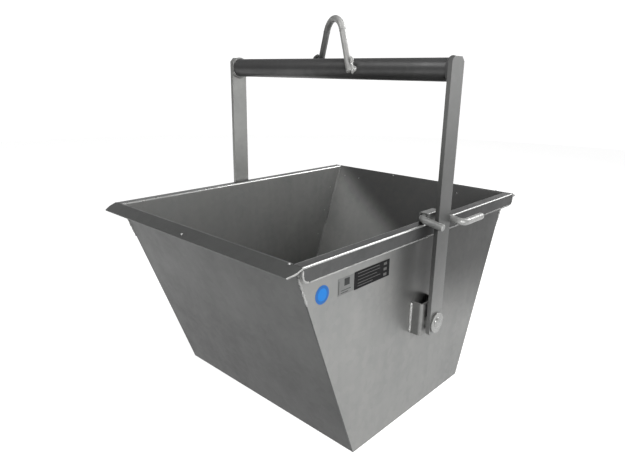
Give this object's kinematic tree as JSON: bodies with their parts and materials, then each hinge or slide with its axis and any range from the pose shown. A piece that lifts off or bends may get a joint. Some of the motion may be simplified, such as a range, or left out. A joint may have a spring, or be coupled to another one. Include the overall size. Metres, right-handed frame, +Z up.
{
  "type": "concrete bucket",
  "caption": "Galvanised sheet-steel tipping tub with sloped ends, hung by pivot pins in a flat-bar bail with a lifting eye and a flip latch on one rim.",
  "frame": {"origin": "middle of the floor's underside, where the tub stands", "axes": "+X along the pivot axis towards the latch's side, -Y towards the front lip, +Z up"},
  "size_m": [0.7507, 0.9054, 0.948],
  "materials": {
    "galvanised_sheet": "hot-dip galvanised sheet",
    "galvanised_bar": "hot-dip galvanised bar",
    "zinc_weld": "zinc-coated weld bead",
    "blue_film": "printed film",
    "pale_film": "printed film",
    "black_plate": "satin paint"
  },
  "bodies": {
    "tub": {"floor_sheet": "galvanised_sheet", "front_sheet": "galvanised_sheet", "back_sheet": "galvanised_sheet", "left_side_sheet": "galvanised_sheet", "right_side_sheet": "galvanised_sheet", "front_left_weld": "zinc_weld", "front_right_weld": "zinc_weld", "back_left_weld": "zinc_weld", "back_right_weld": "zinc_weld", "floor_welds": "zinc_weld", "left_pivot_channel": "galvanised_sheet", "right_pivot_channel": "galvanised_sheet", "left_channel_welds": "zinc_weld", "right_channel_welds": "zinc_weld", "left_pivot_spacer": "galvanised_bar", "right_pivot_spacer": "galvanised_bar", "left_pivot_pin": "galvanised_bar", "right_pivot_pin": "galvanised_bar", "latch_guide": "galvanised_sheet", "round_sticker": "blue_film", "pale_label": "pale_film", "data_plate": "black_plate"},
    "bail": {"left_arm": "galvanised_bar", "right_arm": "galvanised_bar", "crossbar_tube": "galvanised_bar", "left_crossbar_weld": "zinc_weld", "right_crossbar_weld": "zinc_weld", "lifting_eye": "galvanised_bar", "eye_welds": "zinc_weld"},
    "latch": {"latch_rod": "galvanised_bar"}
  },
  "joints": [
    {"name": "bail_swing", "type": "hinge", "parent": "tub", "child": "bail", "pos_m": [0, 0, 0.26], "axis": [1, 0, 0], "range_deg": [0, 105]},
    {"name": "latch_flip", "type": "hinge", "parent": "tub", "child": "latch", "pos_m": [0.316, 0, 0.511], "axis": [0, -1, 0], "range_deg": [0, 200]}
  ]
}
